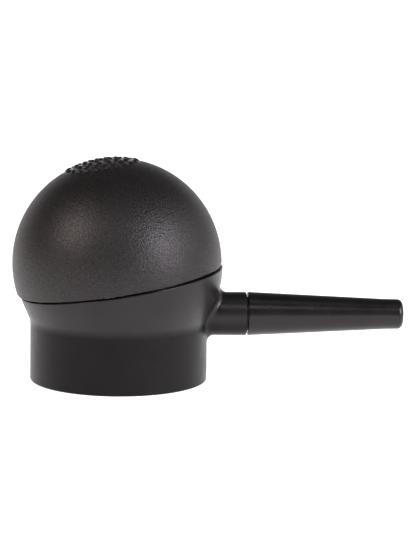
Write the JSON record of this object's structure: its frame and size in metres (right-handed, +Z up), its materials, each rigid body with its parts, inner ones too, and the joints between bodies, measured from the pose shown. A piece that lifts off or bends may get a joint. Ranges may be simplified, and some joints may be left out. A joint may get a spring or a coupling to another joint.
{
  "type": "bulb powder applicator",
  "caption": "Rubber squeeze bulb on a slanted collar that pushes onto a bottle neck and blows powder out through a pull-off tapered side nozzle.",
  "frame": {"origin": "centre of the collar's lower edge, at the mouth of the bottle socket", "axes": "+Z up out of the bottle along the collar's axis, +X along the nozzle"},
  "size_m": [0.1112, 0.0592, 0.0633],
  "materials": {
    "body_plastic": "satin black moulded plastic",
    "nozzle_plastic": "satin black moulded plastic",
    "bulb_rubber": "matte black rubber with a fine grain",
    "valve_plastic": "uncoloured moulded plastic",
    "silicone": "soft translucent grey silicone",
    "gasket_rubber": "smooth dark rubber"
  },
  "bodies": {
    "body": {"applicator_body": "body_plastic", "bulb_wall": "bulb_rubber", "valve_plate": "valve_plastic", "flap_retainer": "valve_plastic", "jet_tube": "valve_plastic", "bottle_gasket": "gasket_rubber"},
    "bulb_crown": {"bulb_crown": "bulb_rubber"},
    "intake_flap": {"intake_flap": "silicone"},
    "discharge_disc": {"discharge_disc": "silicone"},
    "nozzle_seal": {"nozzle_seal": "gasket_rubber"},
    "nozzle": {"nozzle": "nozzle_plastic"}
  },
  "joints": [
    {"name": "bulb_squeeze", "type": "slide", "parent": "body", "child": "bulb_crown", "axis": [0.1599, 0, -0.9871], "range_m": [0, 0.012], "stiffness_N_per_m": 1400, "deforming": ["bulb_wall"]},
    {"name": "intake_lift", "type": "slide", "parent": "body", "child": "intake_flap", "axis": [-0.1599, 0, 0.9871], "range_m": [0, 0.00075]},
    {"name": "discharge_lift", "type": "slide", "parent": "body", "child": "discharge_disc", "axis": [-0.1599, 0, 0.9871], "range_m": [0, 0.00075]},
    {"name": "nozzle_turn", "type": "hinge", "parent": "body", "child": "nozzle_seal", "pos_m": [0.041, 0, 0.0188], "axis": [1, 0, 0], "continuous": true},
    {"name": "nozzle_pull", "type": "slide", "parent": "nozzle_seal", "child": "nozzle", "axis": [1, 0, 0], "range_m": [0, 0.012]}
  ]
}
